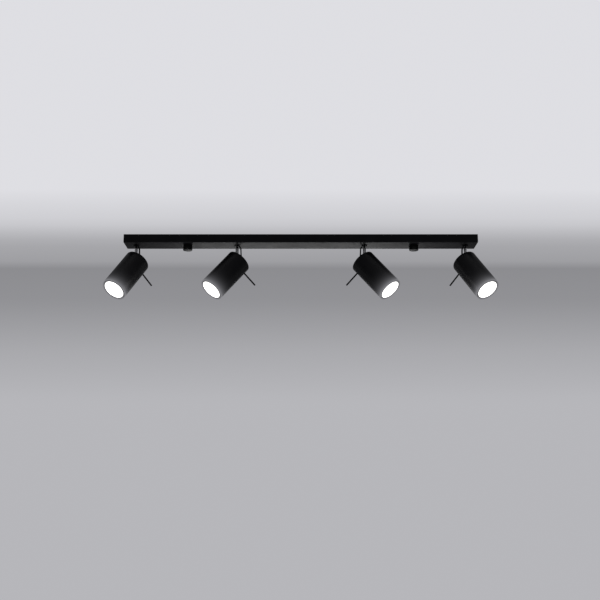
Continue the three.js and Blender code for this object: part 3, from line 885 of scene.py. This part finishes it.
LEAD_SKIN = soft_rubber("lead_skin", 0.009, 0.45)
GROMMET_RUBBER = soft_rubber("grommet_rubber", 0.008, 0.6)
grommet_bore = 2 * CORE_RADIUS + 0.00015
under_cap, over_cap = cap - BARREL_WALL - 0.0001, cap + 0.0001
lip = under_cap - GROMMET_LIP
grommet_profile = rounded(
    [(grommet_bore, lip), (GROMMET_FLANGE, lip), (GROMMET_FLANGE, under_cap), (LEAD_HOLE, under_cap),
     (LEAD_HOLE, over_cap), (GROMMET_FLANGE, over_cap), (GROMMET_FLANGE - 0.0003, over_cap + 0.001),
     (grommet_bore, over_cap + 0.0013), (grommet_bore, lip)],
    0.0004,
)


def twin_lead(path, sideways):
    """Two round cores along the path, each one core radius to its side of it, with the web
    that joins them inside their touching sides."""
    side = np.array(sideways) * CORE_RADIUS * 0.98
    return joined(*(tube(path + way * side, CORE_RADIUS, sideways, 20) for way in (1, -1)))


for spot in spot_names:
    swivel, head = swivel_place[spot], head_place[spot]
    knots = np.vstack([swivel.points([(x, 0.0, z) for x, z in LEAD_TOP]),
                       head.points([(x, 0.0, z) for x, z in LEAD_END])])
    path = smooth_path(knots, 10)
    lead = make_piece(f"{spot}_black_lead", twin_lead(path, swivel.turn[:, 1]), 60)
    lead.data.materials.append(LEAD_SKIN)
    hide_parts(f"{spot}_lead")
    tuple(swivel.point(0.0095, 0.0, -0.027))
    tuple(head.point(LEAD_HOLE_X, 0.0, cap + 0.003))
    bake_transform(lead)
    part = head.part(moved(turned(grommet_profile, 40), LEAD_HOLE_X))
    grommet = make_piece(f"{spot}_rubber_grommet", part, 50)
    hand_over(grommet, f"{spot}_head", "black_rubber", GROMMET_RUBBER, f"{spot}_lead_grommet")


# ---------------------------------------------------------------------------
# Lamps. A reflector lamp of the 50 mm size fills each mouth: a satin shell with a narrow rim and
# two pins at its base, and a frosted front lens that is lit from behind.
LAMP_RADIUS, LENS_RADIUS, LAMP_RECESS, LAMP_BODY = 0.025, 0.023, 0.0005, 0.0465
PIN_HALF_SPACING, PIN_NECK, PIN_HEAD = 0.005, 0.0012, 0.0024
PIN_ROOT, PIN_SHOULDER, PIN_LENGTH = 0.001, 0.005, 0.007
LENS_GLOW = 5.0


def lamp_shell(name):
    """Satin moulded lamp shell: light grey, slightly mottled, with a fine moulded texture."""
    finish = Finish(name, specular=0.45)
    mottle = finish.noise(200.0, 3.0)
    finish.set("Base Color", finish.colour(mottle, grey(0.5), grey(0.6)))
    finish.set("Roughness", 0.36 + 0.12 * mottle)
    finish.bump(finish.noise(3000.0, 2.0), 0.00002)
    return finish.material


def lit_lens(name):
    """Frosted lens lit from behind: brightest over the middle, falling off to the rim by the
    reach attribute, which is the distance from the axis as a share of the lens's radius."""
    finish = Finish(name, roughness=0.35, specular=0.4)
    reach = finish.node("ShaderNodeAttribute", {"attribute_name": "reach"}, out="Fac")
    pearl = finish.noise(1500.0, 2.0)
    fall = finish.ramp(reach, 0.55, 1.0) ** 2.0
    finish.set("Base Color", finish.colour(pearl, grey(0.8), grey(0.88)))
    warm, rim = (1.0, 0.985, 0.96, 1.0), (0.34, 0.335, 0.33, 1.0)
    finish.set("Emission Color", finish.colour(fall, warm, rim))
    finish.set("Emission Strength", LENS_GLOW)
    finish.bump(pearl, 0.00004)
    return finish.material


SHELL = lamp_shell("lamp_shell_satin")
LENS = lit_lens("lit_frosted_lens")
face = mouth + LAMP_RECESS
base = face + LAMP_BODY
shell_profile = rounded(
    [(0, face + 0.0024), (LENS_RADIUS + 0.0002, face + 0.0024), (LENS_RADIUS + 0.0002, face),
     (LAMP_RADIUS, face), (LAMP_RADIUS, face + 0.004), (0.0225, face + 0.015), (0.0176, face + 0.03),
     (0.0146, face + 0.036), (0.0142, base), (0, base)],
    [0, 0.0003, 0.0003, 0.0006, 0.001, 0.003, 0.003, 0.002, 0.0008, 0],
    steps=5,
)
pin_profile = rounded(
    [(0, base - PIN_ROOT), (PIN_NECK, base - PIN_ROOT), (PIN_NECK, base + PIN_SHOULDER),
     (PIN_HEAD, base + PIN_SHOULDER), (PIN_HEAD, base + PIN_LENGTH), (0, base + PIN_LENGTH)], 0.0002)
lens_profile = rounded(
    [(0, face + 0.0021), (LENS_RADIUS, face + 0.0021), (LENS_RADIUS, face + 0.0001),
     (LENS_RADIUS - 0.0015, face - 0.0001), (LENS_RADIUS * 0.5, face - 0.0004), (0, face - 0.00045)],
    [0, 0.0002, 0.0003, 0.002, 0.004, 0],
    steps=8,
)
for spot in spot_names:
    place = head_place[spot]
    pins = [moved(turned(pin_profile, 24), side * PIN_HALF_SPACING) for side in (-1, 1)]
    shell = make_piece(f"{spot}_reflector_lamp", place.part(joined(turned(shell_profile, 112), *pins)), 35)
    hand_over(shell, f"{spot}_lamp", "lamp_shell", SHELL, f"{spot}_lamp_body")
    lens = make_piece(f"{spot}_frosted_lens", place.part(turned(lens_profile, 112)), 35)
    local = own_points(lens, place)
    give_attribute(lens, "reach", np.hypot(local[:, 0], local[:, 1]) / LENS_RADIUS)
    hand_over(lens, f"{spot}_lamp", "lamp_lens", LENS, f"{spot}_lamp_lens")


# ---------------------------------------------------------------------------
# Floor of the room, far below the bar: pale, matte and plain. It has its own lamp and gives the
# bar no light back, since the floor_bounce lamp stands for that.
FLOOR_HALF = 20.0
floor_points = np.array([(-1, -1, 0), (1, -1, 0), (1, 1, 0), (-1, 1, 0)], float) * FLOOR_HALF
ground = make_piece("room_floor", (floor_points - (0, 0, FLOOR_DEPTH), np.array([[0, 1, 2, 3]])))
ground_finish = Finish("pale_floor", roughness=0.8)
ground_finish.set("Base Color", ground_finish.colour(ground_finish.noise(3.0), grey(0.6), grey(0.63)))
ground.data.materials.append(ground_finish.material)
ground.visible_diffuse = False
ground.visible_glossy = False
